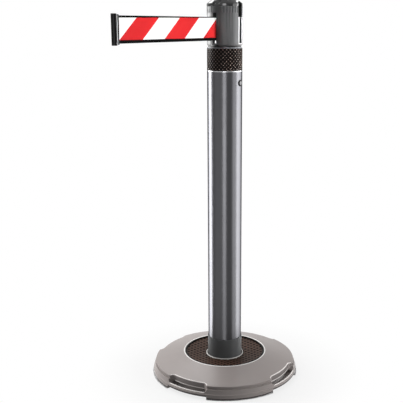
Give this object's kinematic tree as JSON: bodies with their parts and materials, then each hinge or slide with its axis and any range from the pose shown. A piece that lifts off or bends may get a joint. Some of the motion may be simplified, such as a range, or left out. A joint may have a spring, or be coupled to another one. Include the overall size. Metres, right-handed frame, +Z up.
{
  "type": "retractable belt queue pole",
  "caption": "Free-standing round pole with a weighted base and a head that reels out a striped barrier belt and takes other poles' belt clips.",
  "frame": {"origin": "on the pole's axis, at the floor under the base", "axes": "+Z up the pole; the belt is drawn out along -X"},
  "size_m": [0.5761, 0.352, 0.8897],
  "materials": {
    "base_taupe": "satin moulded, warm grey",
    "cast_ballast": "rough cast, painted",
    "floor_rubber": "matt",
    "mat_brown": "matt, diamond texture",
    "tube_metal": "dark anodised, glossy",
    "boot_grey": "matt",
    "band_knurl": "diamond knurl, satin",
    "adapter_grey": "satin",
    "head_grey": "satin",
    "channel_black": "satin",
    "cap_black": "glossy",
    "steel": "plain",
    "reel_plastic": "moulded",
    "bush_brass": "plain",
    "brake_lining": "matt",
    "belt_webbing": "woven, red and white diagonal stripes, dark edges",
    "clip_black": "satin"
  },
  "bodies": {
    "stand": {"base_shell": "base_taupe", "ballast_plate": "cast_ballast", "floor_ring": "floor_rubber", "base_mat": "mat_brown", "shell_screws": "steel", "tie_bolt": "steel", "tie_washer": "steel", "tube_plug": "cast_ballast", "pole_tube": "tube_metal", "pole_boot": "boot_grey", "head_adapter": "adapter_grey", "grip_band": "band_knurl", "adapter_cups": "channel_black", "adapter_screws": "steel", "head_shell": "head_grey", "head_screws": "steel", "receiver_liner_back": "channel_black", "receiver_liner_left": "channel_black", "receiver_liner_right": "channel_black", "belt_mouth": "channel_black", "guide_pin": "steel", "head_lid": "channel_black", "head_cap": "cap_black", "cap_screw": "steel", "cap_plug": "cap_black", "spool_shaft": "steel", "shaft_nut": "steel", "power_spring": "steel", "brake_housing": "reel_plastic"},
    "reel": {"belt_spool": "reel_plastic", "spool_bush_lower": "bush_brass", "spool_bush_upper": "bush_brass", "belt_roll": "belt_webbing", "brake_pins": "steel"},
    "front_shoe": {"brake_shoe_front": "brake_lining"},
    "rear_shoe": {"brake_shoe_rear": "brake_lining"},
    "belt_end": {"belt_strip": "belt_webbing", "belt_clip": "clip_black", "clip_pin": "steel"}
  },
  "joints": [
    {"name": "belt_pull", "type": "slide", "parent": "stand", "child": "belt_end", "axis": [-1, 0, 0], "range_m": [-0.3485, 1.945], "deforming": ["belt_strip"]},
    {"name": "reel_spin", "type": "hinge", "parent": "stand", "child": "reel", "pos_m": [0, 0, 0.822], "axis": [0, 0, 1], "range_deg": [-780, 4200]},
    {"name": "front_shoe_swing", "type": "hinge", "parent": "reel", "child": "front_shoe", "pos_m": [0.01992, 0, 0.855], "axis": [0, 0, -1], "range_deg": [0, 7]},
    {"name": "rear_shoe_swing", "type": "hinge", "parent": "reel", "child": "rear_shoe", "pos_m": [-0.01992, 0, 0.855], "axis": [0, 0, -1], "range_deg": [0, 7]}
  ],
  "couplings": [
    {"joint": "reel_spin", "follows": "belt_pull", "rad_per_m": 36.349}
  ]
}
